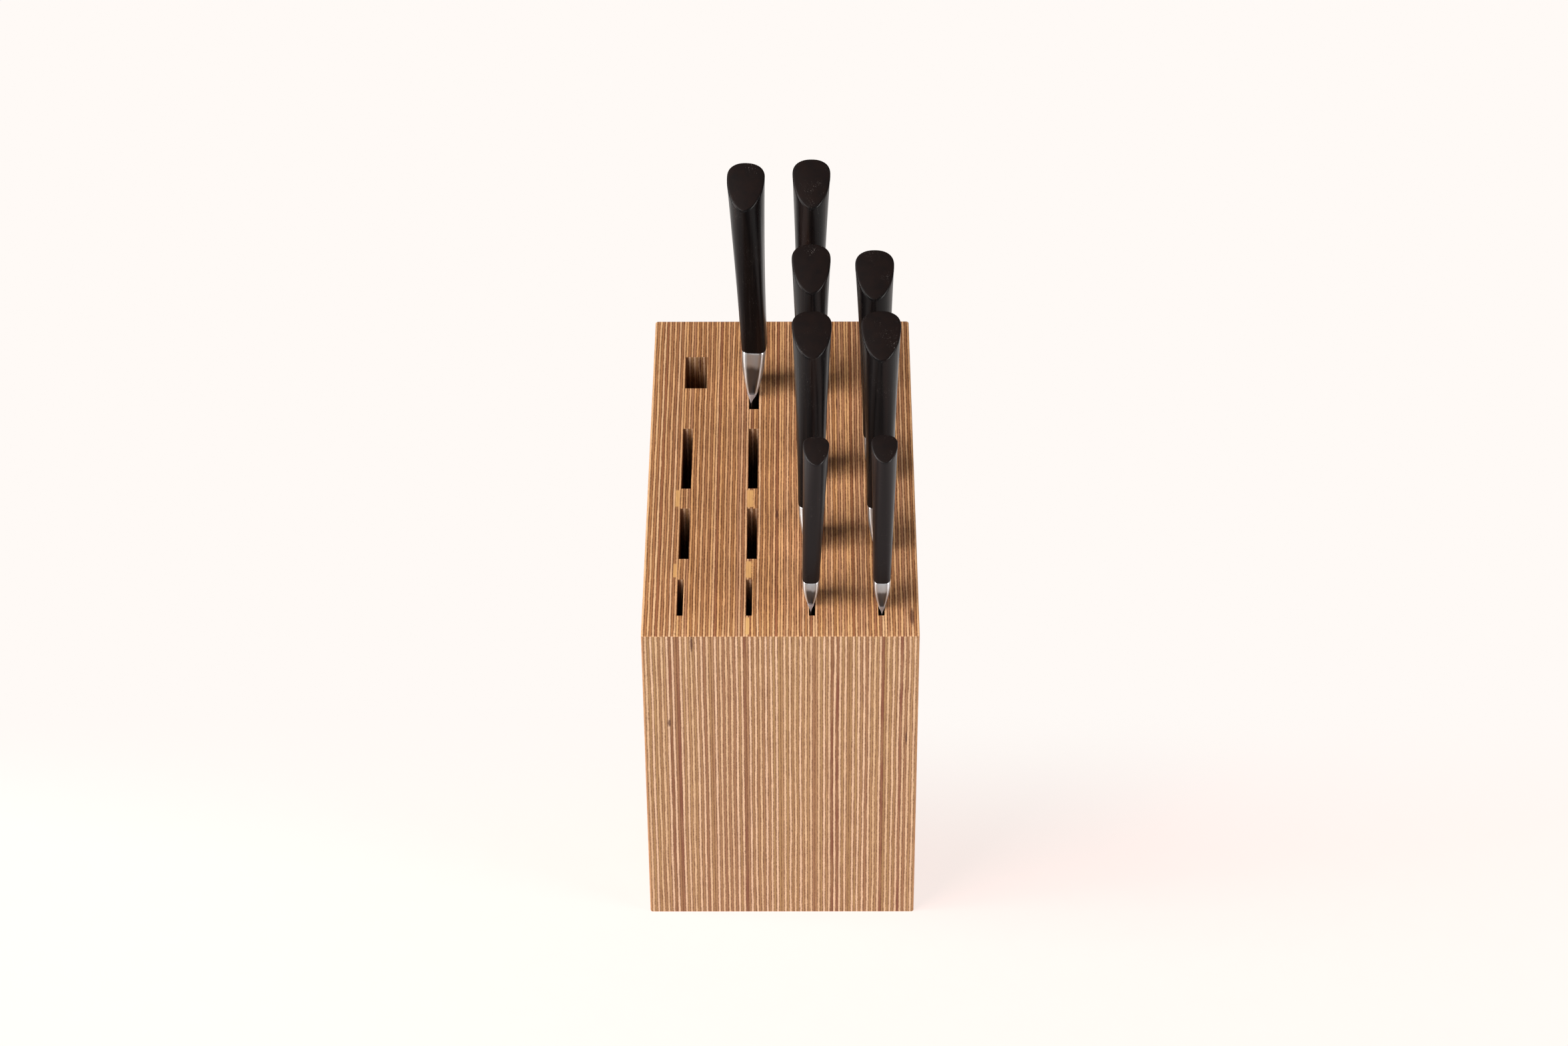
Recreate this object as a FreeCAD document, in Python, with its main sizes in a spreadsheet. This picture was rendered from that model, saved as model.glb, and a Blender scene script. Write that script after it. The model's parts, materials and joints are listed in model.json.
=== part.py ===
"""Knife block: eight glued plywood sheets with grooves, and eight forged kitchen knives.

Frame: +X to the right, +Y to the back, +Z up, origin at the middle of the block's base.
The sheets stand side by side along X. Each groove is cut in one face of a sheet and closed by
the next sheet, so that it becomes a slot that opens only at the block's top. Each knife hangs
in a slot with its edge to the front and its spine to the back, and lifts out along +Z.
"""
import FreeCAD, Part
import os

import Sketcher

V = FreeCAD.Vector
SHEET_NAME = "dims"

# ---------------------------------------------------------------- driving dimensions, mm, degrees
BLOCK = {
    "block_depth": 274.0,
    "block_height": 199.0,
    "sheet_thickness": 18.0,
    "slot_floor": 9.0,            # wood left under every slot
    "corner_radius": 1.5,         # upright outer edges
    "rim_radius": 0.6,            # edges round the top
    "narrow_slot": 3.2,
    "wide_slot": 5.3,
    "steel_slot": 12.2,           # rectangular hole for a sharpening steel
    "row_1_front": 16.4,          # the rows are measured from the block's front face
    "row_1_length": 29.2,
    "row_2_front": 62.5,
    "row_2_length": 42.3,
    "row_3_front": 121.8,
    "row_3_length": 52.6,
    "row_4_front": 192.0,
    "row_4_length": 48.0,
    "steel_front": 211.0,
    "steel_length": 29.0,
}

# Shares that both families keep.
SHARES = {
    "keel_share": 0.4,            # of the bolster's height above the choil
    "shoulder_share": 0.7,
    "middle_share": 0.45,         # of the handle's full length
    "advance_share": 0.62,        # of the handle's growth in depth that is added at its front
}

# One family per handle size. Widths are along X, depths along Y, heights along Z.
FAMILIES = {
    "large": {
        "blade_thickness": 2.0,
        "blade_depth": 26.5,      # edge to spine
        "edge_thickness": 0.4,
        "bevel_depth": 11.0,
        "tip_length": 55.0,
        "tang_front": 13.0,
        "tang_depth": 8.0,
        "tang_length": 75.0,
        "tang_gap": 0.4,
        "choil_depth": 6.0,       # the bolster's front stands this far behind the edge
        "choil_height": 1.2,
        "choil_width": 5.3,
        "foot_width": 2.4,        # bolster, at the heel
        "keel_width": 10.8,       # bolster, at keel_share of its height
        "shoulder_width": 13.1,   # bolster, at shoulder_share of its height
        "joint_width": 14.0,      # bolster top and handle bottom
        "joint_depth": 20.0,
        "middle_width": 15.8,     # handle, at middle_share of its length
        "middle_depth": 22.5,
        "butt_width": 20.4,
        "butt_depth": 25.5,
        "foot_radius": 0.5,
        "choil_radius": 1.9,
        "keel_radius": 3.0,
        "front_radius": 3.6,
        "butt_round": 0.8,
    },
    "small": {
        "blade_thickness": 1.3,
        "blade_depth": 18.0,
        "edge_thickness": 0.3,
        "bevel_depth": 8.0,
        "tip_length": 34.0,
        "tang_front": 9.0,
        "tang_depth": 5.0,
        "tang_length": 45.0,
        "tang_gap": 0.4,
        "choil_depth": 5.0,
        "choil_height": 0.3,
        "choil_width": 3.4,
        "foot_width": 1.6,
        "keel_width": 7.0,
        "shoulder_width": 8.6,
        "joint_width": 9.2,
        "joint_depth": 13.0,
        "middle_width": 11.3,
        "middle_depth": 14.6,
        "butt_width": 13.4,
        "butt_depth": 16.5,
        "foot_radius": 0.3,
        "choil_radius": 1.2,
        "keel_radius": 2.0,
        "front_radius": 2.4,
        "butt_round": 0.6,
    },
}

# edge_x and edge_y place the heel of the edge, heel_z its height. butt_rise is how much higher
# the butt's back is than its front. The handle stands joint_shift to the side of the blade at
# its joint, and its axis drifts on by drift from there to the butt.
KNIFE_FIELDS = ("edge_x", "edge_y", "heel_z", "yaw", "blade_length", "bolster_height",
                "handle_length", "butt_rise", "joint_shift", "drift")
KNIVES = {
    "carving_knife": ("large", -17.2, 59.7, 199.6, -6.5, 180.0, 29.8, 97.3, 14.6, 1.0, -4.1),
    "slicing_knife": ("large", 15.3, 61.4, 199.6, 0.0, 185.0, 29.8, 97.9, 15.2, 0.0, 1.2),
    "filleting_knife": ("large", 16.1, -14.6, 199.6, 0.0, 170.0, 29.8, 96.8, 14.2, 0.0, 0.1),
    "trimming_knife": ("large", 50.9, -14.6, 199.6, 0.0, 160.0, 27.8, 94.7, 14.6, 0.0, -1.5),
    "utility_knife": ("large", 16.0, -73.8, 199.6, 0.0, 150.0, 28.1, 100.6, 12.2, 0.0, 0.4),
    "boning_knife": ("large", 52.1, -73.8, 199.6, 0.0, 140.0, 27.8, 99.5, 13.6, 0.0, -0.3),
    "paring_knife": ("small", 15.6, -118.0, 199.6, -3.0, 90.0, 14.6, 80.0, 6.1, 0.0, 2.6),
    "peeling_knife": ("small", 52.7, -119.8, 199.6, 0.0, 80.0, 16.0, 81.4, 5.8, 0.0, 0.4),
}

# Which face of which sheet is grooved, and what each of its grooves is: (row, width).
SLOT_ROWS = (("row_1", "narrow_slot"), ("row_2", "wide_slot"), ("row_3", "wide_slot"),
             ("row_4", "wide_slot"))
STEEL_ROWS = SLOT_ROWS[:3] + (("steel", "steel_slot"),)
GROOVED_SHEETS = {
    2: ("left", STEEL_ROWS),
    4: ("left", SLOT_ROWS),
    5: ("right", SLOT_ROWS),
    7: ("right", SLOT_ROWS),
}
SHEET_COUNT = 8
EDGE_PLACE = 0.001                # how near an edge's middle must be to count as on a face
BUTT_EDGE_PLACE = 0.01            # the same for the butt's curved edges


def make_sheet(doc):
    """Fill the spreadsheet: one row per driving dimension, with its name and its value."""
    sheet = doc.addObject("Spreadsheet::Sheet", SHEET_NAME)
    values = {**BLOCK, **SHARES}
    for family, sizes in FAMILIES.items():
        values.update({f"{family}_{name}": size for name, size in sizes.items()})
    for knife, row in KNIVES.items():
        values.update({f"{knife}_{name}": size for name, size in zip(KNIFE_FIELDS, row[1:])})
    for line, (alias, value) in enumerate(values.items(), start=1):
        sheet.set(f"A{line}", alias)
        sheet.set(f"B{line}", str(value))
        sheet.setAlias(f"B{line}", alias)
    doc.recompute()


def cell(name):
    """The expression that reads one dimension."""
    return f"<<{SHEET_NAME}>>.{name}"


# ---------------------------------------------------------------- sketches
def new_body(doc, label):
    body = doc.addObject("PartDesign::Body", label)
    body.Label = label
    return body


def new_sketch(body, name, plane, offset="0", side="0"):
    """A sketch on one of the body's own planes, moved by offset along the plane's normal."""
    sketch = body.newObject("Sketcher::SketchObject", name)
    for feature in body.Origin.OriginFeatures:
        if feature.Role == plane:
            sketch.AttachmentSupport = [(feature, "")]
    sketch.MapMode = "FlatFace"
    sketch.setExpression("AttachmentOffset.Base.z", offset)
    sketch.setExpression("AttachmentOffset.Base.x", side)
    return sketch


def constrain(sketch, kind, args, expression):
    """Add one constraint whose value comes from the spreadsheet."""
    value = float(sketch.evalExpression(expression))
    index = sketch.addConstraint(Sketcher.Constraint(kind, *args, value))
    sketch.setExpression(f"Constraints[{index}]", expression)


def add_rectangle(sketch, left, low, width, height):
    """A rectangle whose low left corner and size are expressions."""
    start = len(sketch.Geometry)
    x, y, wide, high = (float(sketch.evalExpression(item)) for item in (left, low, width, height))
    corners = [V(x, y, 0), V(x + wide, y, 0), V(x + wide, y + high, 0), V(x, y + high, 0)]
    for here, there in zip(corners, corners[1:] + corners[:1]):
        sketch.addGeometry(Part.LineSegment(here, there), False)
    for side in range(4):
        following = start + (side + 1) % 4
        sketch.addConstraint(Sketcher.Constraint("Coincident", start + side, 2, following, 1))
        direction = "Horizontal" if side % 2 == 0 else "Vertical"
        sketch.addConstraint(Sketcher.Constraint(direction, start + side))
    constrain(sketch, "DistanceX", (start, 1, start, 2), width)
    constrain(sketch, "DistanceY", (start + 1, 1, start + 1, 2), height)
    constrain(sketch, "DistanceX", (-1, 1, start, 1), left)
    constrain(sketch, "DistanceY", (-1, 1, start, 1), low)


def add_polygon(sketch, points):
    """A closed outline of straight lines between points whose places are expressions."""
    start = len(sketch.Geometry)
    count = len(points)
    places = [V(*(float(sketch.evalExpression(item)) for item in point), 0) for point in points]
    for index, place in enumerate(places):
        sketch.addGeometry(Part.LineSegment(place, places[(index + 1) % count]), False)
    for index, (x, y) in enumerate(points):
        here = start + index
        following = start + (index + 1) % count
        sketch.addConstraint(Sketcher.Constraint("Coincident", here, 2, following, 1))
        constrain(sketch, "DistanceX", (-1, 1, here, 1), x)
        constrain(sketch, "DistanceY", (-1, 1, here, 1), y)


def add_egg(sketch, width, front, depth, radius):
    """A handle section: a small round front, a wide round back and two tangent sides."""
    wide, fore, deep, small = (float(sketch.evalExpression(item))
                               for item in (width, front, depth, radius))
    half = wide / 2
    near = V(0, fore + small, 0)
    far = V(0, fore + deep - half, 0)
    # The sides touch both circles where their common normal meets them.
    lift = (half - small) / (far.y - near.y)
    reach = (1 - lift * lift) ** 0.5
    normals = [V(-reach, -lift, 0), V(reach, -lift, 0)]
    near_points = [near + normal * small for normal in normals]
    far_points = [far + normal * half for normal in normals]
    front_tip = near - V(0, small, 0)
    back_tip = far + V(0, half, 0)
    front_arc = sketch.addGeometry(Part.Arc(near_points[0], front_tip, near_points[1]), False)
    right = sketch.addGeometry(Part.LineSegment(near_points[1], far_points[1]), False)
    back_arc = sketch.addGeometry(Part.Arc(far_points[1], back_tip, far_points[0]), False)
    left = sketch.addGeometry(Part.LineSegment(far_points[0], near_points[0]), False)
    add = sketch.addConstraint
    add(Sketcher.Constraint("Tangent", front_arc, 2, right, 1))
    add(Sketcher.Constraint("Tangent", right, 2, back_arc, 1))
    add(Sketcher.Constraint("Tangent", back_arc, 2, left, 1))
    add(Sketcher.Constraint("Tangent", left, 2, front_arc, 1))
    add(Sketcher.Constraint("PointOnObject", front_arc, 3, -2))
    add(Sketcher.Constraint("PointOnObject", back_arc, 3, -2))
    constrain(sketch, "Radius", (front_arc,), radius)
    constrain(sketch, "Radius", (back_arc,), f"{width} / 2")
    constrain(sketch, "DistanceY", (-1, 1, front_arc, 3), f"{front} + {radius}")
    constrain(sketch, "DistanceY", (-1, 1, back_arc, 3), f"{front} + {depth} - {width} / 2")


# ---------------------------------------------------------------- solid features
def pad(body, sketch, name, length, symmetric=False):
    feature = body.newObject("PartDesign::Pad", name)
    feature.Profile = sketch
    feature.setExpression("Length", length)
    if symmetric:
        feature.SideType = "Symmetric"
    return feature


def pocket(body, sketch, name, length, reverse=False):
    """Cut into the body and make sure that something was cut."""
    doc = body.Document
    doc.recompute()
    before = body.Shape.Volume
    feature = body.newObject("PartDesign::Pocket", name)
    feature.Profile = sketch
    feature.Reversed = reverse
    feature.setExpression("Length", length)
    doc.recompute()
    if body.Shape.Volume > before - 0.01:
        raise RuntimeError(f"{name} of {body.Label} cuts nothing")
    return feature


def loft(body, sketches, name, ruled):
    feature = body.newObject("PartDesign::AdditiveLoft", name)
    feature.Profile = sketches[0]
    feature.Sections = sketches[1:]
    feature.Ruled = ruled
    return feature


def round_edges(body, name, radius, chosen):
    """Fillet the edges that the function chosen picks by their middle point and direction."""
    doc = body.Document
    doc.recompute()
    base = body.Tip
    names = []
    for index, edge in enumerate(base.Shape.Edges, start=1):
        middle = edge.valueAt((edge.FirstParameter + edge.LastParameter) / 2)
        if chosen(edge, middle):
            names.append(f"Edge{index}")
    feature = body.newObject("PartDesign::Fillet", name)
    feature.Base = (base, names)
    feature.setExpression("Radius", radius)
    doc.recompute()
    return feature


# ---------------------------------------------------------------- the block
def make_plywood_sheet(doc, number):
    """One sheet, standing on edge. Its own origin is the low front corner of its left face."""
    body = new_body(doc, f"plywood_sheet_{number}")
    outline = new_sketch(body, "outline", "YZ_Plane")
    add_rectangle(outline, "0", "0", cell("block_depth"), cell("block_height"))
    pad(body, outline, "board", cell("sheet_thickness"))
    if number in GROOVED_SHEETS:
        cut_grooves(body, *GROOVED_SHEETS[number])
    ease_edges(body, number)
    body.setExpression("Placement.Base.x",
                       f"{number - 1 - SHEET_COUNT // 2} * {cell('sheet_thickness')}")
    body.setExpression("Placement.Base.y", f"-{cell('block_depth')} / 2")
    return body


def cut_grooves(body, face, rows):
    """Grooves in the left or the right face, from the top down to the slot floor."""
    offset = "0" if face == "left" else cell("sheet_thickness")
    for row, depth in rows:
        profile = new_sketch(body, f"{row}_outline", "YZ_Plane", offset)
        add_rectangle(profile, cell(f"{row}_front"), cell("slot_floor"), cell(f"{row}_length"),
                      f"{cell('block_height')} - {cell('slot_floor')}")
        pocket(body, profile, f"{row}_groove", cell(depth), reverse=face == "left")


def ease_edges(body, number):
    """Round the upright outer edges of the two end sheets and the edges round the top."""
    depth = BLOCK["block_depth"]
    height = BLOCK["block_height"]
    outer_x = {1: 0.0, SHEET_COUNT: BLOCK["sheet_thickness"]}.get(number)

    def is_at(value, place):
        return abs(value - place) < EDGE_PLACE

    def upright(edge, middle):
        on_end = is_at(middle.y, 0) or is_at(middle.y, depth)
        return on_end and outer_x is not None and is_at(middle.x, outer_x)

    def round_the_top(edge, middle):
        on_end = is_at(middle.y, 0) or is_at(middle.y, depth)
        on_side = outer_x is not None and is_at(middle.x, outer_x)
        return is_at(middle.z, height) and (on_end or on_side)

    if outer_x is not None:
        round_edges(body, "rounded_corners", cell("corner_radius"), upright)
    round_edges(body, "rounded_rim", cell("rim_radius"), round_the_top)


# ---------------------------------------------------------------- the knives
def make_blade(doc, knife, family):
    """Blade and hidden tang, one steel piece. Own origin: the heel, where the edge begins."""
    sizes = FAMILIES[family]
    body = new_body(doc, f"{knife}_blade")
    profile = new_sketch(body, "side_profile", "YZ_Plane")
    length = KNIVES[knife][1 + KNIFE_FIELDS.index("blade_length")]
    spine = sizes["blade_depth"]
    belly = length - sizes["tip_length"]
    # The belly is an arc tangent to the straight edge that ends at the tip on the spine.
    radius = (spine ** 2 + sizes["tip_length"] ** 2) / (2 * spine)
    centre = V(radius, -belly, 0)
    tip = V(spine, -length, 0)
    chord_middle = (V(0, -belly, 0) + tip) * 0.5
    outward = (chord_middle - centre).normalize()
    arc = Part.Arc(V(0, -belly, 0), centre + outward * radius, tip)
    profile.addGeometry(Part.LineSegment(V(0, 0, 0), V(0, -belly, 0)), False)
    profile.addGeometry(arc, False)
    profile.addGeometry(Part.LineSegment(tip, V(spine, 0, 0)), False)
    profile.addGeometry(Part.LineSegment(V(spine, 0, 0), V(0, 0, 0)), False)
    add = profile.addConstraint
    add(Sketcher.Constraint("Coincident", 0, 1, -1, 1))
    add(Sketcher.Constraint("Tangent", 0, 2, 1, 1))
    add(Sketcher.Constraint("Coincident", 1, 2, 2, 1))
    add(Sketcher.Constraint("Coincident", 2, 2, 3, 1))
    add(Sketcher.Constraint("Coincident", 3, 2, 0, 1))
    add(Sketcher.Constraint("Vertical", 0))
    add(Sketcher.Constraint("Vertical", 2))
    add(Sketcher.Constraint("Horizontal", 3))
    constrain(profile, "DistanceY", (0, 2, 0, 1),
              f"{cell(knife + '_blade_length')} - {cell(family + '_tip_length')}")
    constrain(profile, "DistanceY", (2, 1, 2, 2), cell(f"{knife}_blade_length"))
    constrain(profile, "DistanceX", (3, 2, 3, 1), cell(f"{family}_blade_depth"))
    pad(body, profile, "plate", cell(f"{family}_blade_thickness"), symmetric=True)

    tang = new_sketch(body, "tang_profile", "YZ_Plane")
    add_rectangle(tang, cell(f"{family}_tang_front"), "0", cell(f"{family}_tang_depth"),
                  cell(f"{family}_tang_length"))
    pad(body, tang, "tang", cell(f"{family}_blade_thickness"), symmetric=True)

    bevel = new_sketch(body, "bevel_section", "XY_Plane")
    bevel_depth = cell(f"{family}_bevel_depth")
    for side in ("-1", "1"):
        edge = f"{side} * {cell(family + '_edge_thickness')} / 2"
        face = f"{side} * {cell(family + '_blade_thickness')} / 2"
        outside = f"{side} * {cell(family + '_blade_thickness')}"
        add_polygon(bevel, [(edge, "0"), (outside, "0"), (outside, bevel_depth),
                            (face, bevel_depth)])
    pocket(body, bevel, "bevel", cell(f"{knife}_blade_length"))
    return body


def make_bolster(doc, knife, family):
    """Steel collar between blade and handle, keel-shaped towards the heel, with a tang hole."""
    body = new_body(doc, f"{knife}_bolster")
    top = cell(f"{knife}_bolster_height")
    low = cell(f"{family}_choil_height")
    front = cell(f"{family}_choil_depth")
    depth = cell(f"{family}_joint_depth")
    # (height, width, front, depth, front radius) from the heel up to the handle.
    stages = [("0", "foot_width", "0", f"({front} + {depth})", "foot_radius"),
              (low, "choil_width", front, depth, "choil_radius")]
    for share, width, radius in (("keel_share", "keel_width", "keel_radius"),
                                 ("shoulder_share", "shoulder_width", "front_radius")):
        stages.append((f"({low} + ({top} - {low}) * {cell(share)})", width, front, depth, radius))
    stages.append((top, "joint_width", front, depth, "front_radius"))
    sketches = []
    for index, (height, width, fore, deep, radius) in enumerate(stages):
        side = f"{cell(knife + '_joint_shift')} * {height} / {top}"
        sketch = new_sketch(body, f"section_{index}", "XY_Plane", height, side)
        add_egg(sketch, cell(f"{family}_{width}"), fore, deep, cell(f"{family}_{radius}"))
        sketches.append(sketch)
    loft(body, sketches, "keel", ruled=True)
    cut_tang_hole(body, family, "0", top)
    return body


def make_handle(doc, knife, family):
    """One-piece dark wood handle. Own origin: the heel. It starts at the bolster's top."""
    body = new_body(doc, f"{knife}_handle")
    foot = cell(f"{knife}_bolster_height")
    length = cell(f"{knife}_handle_length")
    rise = cell(f"{knife}_butt_rise")
    joint_front = cell(f"{family}_choil_depth")
    joint_depth = cell(f"{family}_joint_depth")
    butt_depth = cell(f"{family}_butt_depth")
    sketches = []
    for part, share in (("joint", "0"), ("middle", cell("middle_share")), ("butt", "1")):
        height = f"{foot} + {share} * ({length} + {rise})"
        side = f"{cell(knife + '_joint_shift')} + {share} * {cell(knife + '_drift')}"
        depth = cell(f"{family}_{part}_depth")
        front = f"({joint_front} - {cell('advance_share')} * ({depth} - {joint_depth}))"
        sketch = new_sketch(body, f"{part}_section", "XY_Plane", height, side)
        add_egg(sketch, cell(f"{family}_{part}_width"), front, depth,
                cell(f"{family}_front_radius"))
        sketches.append(sketch)
    loft(body, sketches, "grip", ruled=False)

    # The butt is cut obliquely: its back, over the spine, stands higher than its front.
    butt_front = f"{joint_front} - {cell('advance_share')} * ({butt_depth} - {joint_depth})"
    low = f"{foot} + {length}"
    ahead = f"{butt_front} - {butt_depth}"
    behind = f"{butt_front} + 2 * {butt_depth}"
    above = f"{low} + 3 * {butt_depth}"
    across = cell(f"{family}_butt_width")
    oblique = new_sketch(body, "butt_line", "YZ_Plane", f"-{across}")
    add_polygon(oblique, [(ahead, f"{low} - {rise}"), (behind, f"{low} + 2 * {rise}"),
                          (behind, above), (ahead, above)])
    pocket(body, oblique, "butt_cut", f"2 * {across}", reverse=True)

    front_place = float(oblique.evalExpression(butt_front))
    front_height = float(oblique.evalExpression(low))
    slope = float(oblique.evalExpression(f"{rise} / {butt_depth}"))

    def round_the_butt(edge, middle):
        line = front_height + (middle.y - front_place) * slope
        return abs(middle.z - line) < BUTT_EDGE_PLACE

    round_edges(body, "rounded_butt", cell(f"{family}_butt_round"), round_the_butt)
    cut_tang_hole(body, family, foot,
                  f"{cell(family + '_tang_length')} + {cell(family + '_tang_gap')} - {foot}")
    return body


def cut_tang_hole(body, family, foot, depth):
    """The rectangular hole that the tang stands in, a little wider than the tang."""
    gap = cell(f"{family}_tang_gap")
    width = f"({cell(family + '_blade_thickness')} + 2 * {gap})"
    profile = new_sketch(body, "tang_hole_outline", "XY_Plane", foot, f"-{width} / 2")
    add_rectangle(profile, "0", f"{cell(family + '_tang_front')} - {gap}", width,
                  f"{cell(family + '_tang_depth')} + 2 * {gap}")
    pocket(body, profile, "tang_hole", depth, reverse=True)


def place_knife(bodies, knife):
    """Put the knife's pieces at its slot, turned about the upright axis by its yaw."""
    for body in bodies:
        for axis, field in (("x", "edge_x"), ("y", "edge_y"), ("z", "heel_z")):
            body.setExpression(f"Placement.Base.{axis}", cell(f"{knife}_{field}"))
        body.setExpression("Placement.Rotation.Angle", f"{cell(knife + '_yaw')} * 1 deg")


# ---------------------------------------------------------------- build, check, write
def check(doc, bodies):
    for item in doc.Objects:
        if "Invalid" in item.State or "Error" in item.State:
            raise RuntimeError(f"{item.Label} failed: {item.State}")
    for body in bodies:
        if body.Shape.isNull() or not body.Shape.isValid() or len(body.Shape.Solids) != 1:
            raise RuntimeError(f"{body.Label} isn't one valid solid")


def main():
    doc = FreeCAD.newDocument("knife_block")
    make_sheet(doc)
    bodies = [make_plywood_sheet(doc, number) for number in range(1, SHEET_COUNT + 1)]
    for knife, (family, *_) in KNIVES.items():
        pieces = [make_blade(doc, knife, family), make_bolster(doc, knife, family),
                  make_handle(doc, knife, family)]
        place_knife(pieces, knife)
        bodies += pieces
    doc.recompute()
    check(doc, bodies)
    os.makedirs("parts", exist_ok=True)
    for body in bodies:
        body.Shape.exportStep(f"parts/{body.Label}.step")
        box = body.Shape.BoundBox
        print(f"{body.Label:28s} volume {body.Shape.Volume / 1000:8.2f} cm3  "
              f"x {box.XMin:7.1f} {box.XMax:7.1f}  y {box.YMin:7.1f} {box.YMax:7.1f}  "
              f"z {box.ZMin:6.1f} {box.ZMax:6.1f}")


main()
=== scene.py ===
"""Looks of the knife block: plywood, dark wood handles, polished bolsters and satin blades.

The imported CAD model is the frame. The plywood sheets are shown as they are, with a procedural
material. Every knife's blade, bolster and handle is a finer mesh that stands for its CAD node
and rides on the knife's body. Lengths in the mesh builders are millimetres, turned to metres
when a mesh is made.
"""
import json
import math

import bmesh
import bpy
from mathutils import Matrix, Vector

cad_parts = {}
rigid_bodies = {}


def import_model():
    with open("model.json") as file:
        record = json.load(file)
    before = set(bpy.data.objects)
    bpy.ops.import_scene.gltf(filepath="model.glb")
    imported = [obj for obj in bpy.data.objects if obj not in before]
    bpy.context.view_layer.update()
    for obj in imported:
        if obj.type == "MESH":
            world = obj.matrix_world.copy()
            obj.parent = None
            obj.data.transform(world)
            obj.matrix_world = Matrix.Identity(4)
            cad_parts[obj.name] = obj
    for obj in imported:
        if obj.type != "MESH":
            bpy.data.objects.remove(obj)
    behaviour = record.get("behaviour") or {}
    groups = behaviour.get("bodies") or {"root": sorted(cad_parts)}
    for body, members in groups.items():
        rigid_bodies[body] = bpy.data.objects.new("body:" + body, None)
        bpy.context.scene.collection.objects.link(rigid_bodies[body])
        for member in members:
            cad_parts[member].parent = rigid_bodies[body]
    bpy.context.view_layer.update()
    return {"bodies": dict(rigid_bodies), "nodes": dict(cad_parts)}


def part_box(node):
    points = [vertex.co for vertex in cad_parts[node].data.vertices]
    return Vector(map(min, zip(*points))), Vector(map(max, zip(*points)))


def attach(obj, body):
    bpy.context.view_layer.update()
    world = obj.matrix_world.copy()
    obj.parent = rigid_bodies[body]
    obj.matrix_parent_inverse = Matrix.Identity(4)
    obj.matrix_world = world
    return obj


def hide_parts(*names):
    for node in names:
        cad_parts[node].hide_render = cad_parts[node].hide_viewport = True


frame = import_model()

MM = 0.001
SHEETS = [name for name in frame["nodes"] if name.startswith("plywood_sheet")]
KNIVES = [body for body in frame["bodies"] if body != "root"]

# Sizes of the two handle families, in millimetres, as in the CAD model.
LARGE = dict(
    joint_width=13.9, joint_depth=20.0, butt_width=20.4, butt_depth=25.5, even_growth=0.2,
    choil_depth=6.0, choil_height=1.2, choil_width=6.4, collar_width=13.2, belly=1.0,
    blade_thickness=2.0, blade_depth=26.4, tip_length=55.0, butt_round=1.0, dome=0.5, joint_power=4.2,
)
SMALL = dict(
    joint_width=9.1, joint_depth=13.0, butt_width=13.35, butt_depth=16.4, even_growth=0.8,
    choil_depth=5.0, choil_height=0.3, choil_width=4.2, collar_width=9.0, belly=0.6,
    blade_thickness=1.3, blade_depth=17.9, tip_length=34.0, butt_round=0.7, dome=0.3, joint_power=3.3,
)
# Each knife's family, the handle's length at its front, how much higher its butt's back is,
# how far its joint stands to the side of the blade, and how far its axis drifts from there.
KNIFE_SIZES = {
    "carving_knife": (LARGE, 97.3, 14.6, 1.0, -4.1),
    "slicing_knife": (LARGE, 97.9, 15.2, 0.0, 1.2),
    "filleting_knife": (LARGE, 96.8, 14.2, 0.0, 0.1),
    "trimming_knife": (LARGE, 94.7, 14.6, 0.0, -1.5),
    "utility_knife": (LARGE, 100.6, 12.2, 0.0, 0.4),
    "boning_knife": (LARGE, 99.5, 13.6, 0.0, -0.3),
    "paring_knife": (SMALL, 80.0, 6.1, 0.0, 2.6),
    "peeling_knife": (SMALL, 81.4, 5.8, 0.0, 0.4),
}
FRONT_ADVANCE = 0.62          # share of the handle's growth in depth that is added at its front

RING_POINTS = 72
HANDLE_RINGS = 44
BOLSTER_RINGS = 26
LIP = 0.3                     # the bolster's rounded upper edge
FACET_CORNER = 0.8            # how far up the heel's facet reaches its full width
JOINT_INSET = 0.15            # how much the handle's lower edge is eased
SMALL_WEAR = 0.6              # how worn the small knives' handles look
BUTT_EASE = 0.25              # keeps the butt's rounded edge below the CAD's
HEEL_LEVEL = 1e-5             # metres within which a point is level with the heel


# ---------------------------------------------------------------- camera
CAMERA_PLACE = (0.0123, -1.6844, 1.5381)
CAMERA_PITCH = math.radians(39.235)
CAMERA_YAW = math.radians(-0.373)
CAMERA_ROLL = math.radians(-0.305)
CAMERA_LENS = 91.06
SENSOR_WIDTH = 36.0


def make_camera():
    ahead = Vector((math.sin(CAMERA_YAW), math.cos(CAMERA_YAW), 0))
    right = Vector((math.cos(CAMERA_YAW), -math.sin(CAMERA_YAW), 0))
    up = Vector((0, 0, 1))
    forward = ahead * math.cos(CAMERA_PITCH) - up * math.sin(CAMERA_PITCH)
    top = up * math.cos(CAMERA_PITCH) + ahead * math.sin(CAMERA_PITCH)
    rolled_right = right * math.cos(CAMERA_ROLL) + top * math.sin(CAMERA_ROLL)
    rolled_top = top * math.cos(CAMERA_ROLL) - right * math.sin(CAMERA_ROLL)
    data = bpy.data.cameras.new("camera")
    data.lens = CAMERA_LENS
    data.sensor_width = SENSOR_WIDTH
    camera = bpy.data.objects.new("camera", data)
    turn = Matrix((rolled_right, rolled_top, -forward)).transposed().to_4x4()
    camera.matrix_world = Matrix.Translation(CAMERA_PLACE) @ turn
    bpy.context.scene.collection.objects.link(camera)
    bpy.context.scene.camera = camera


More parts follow.
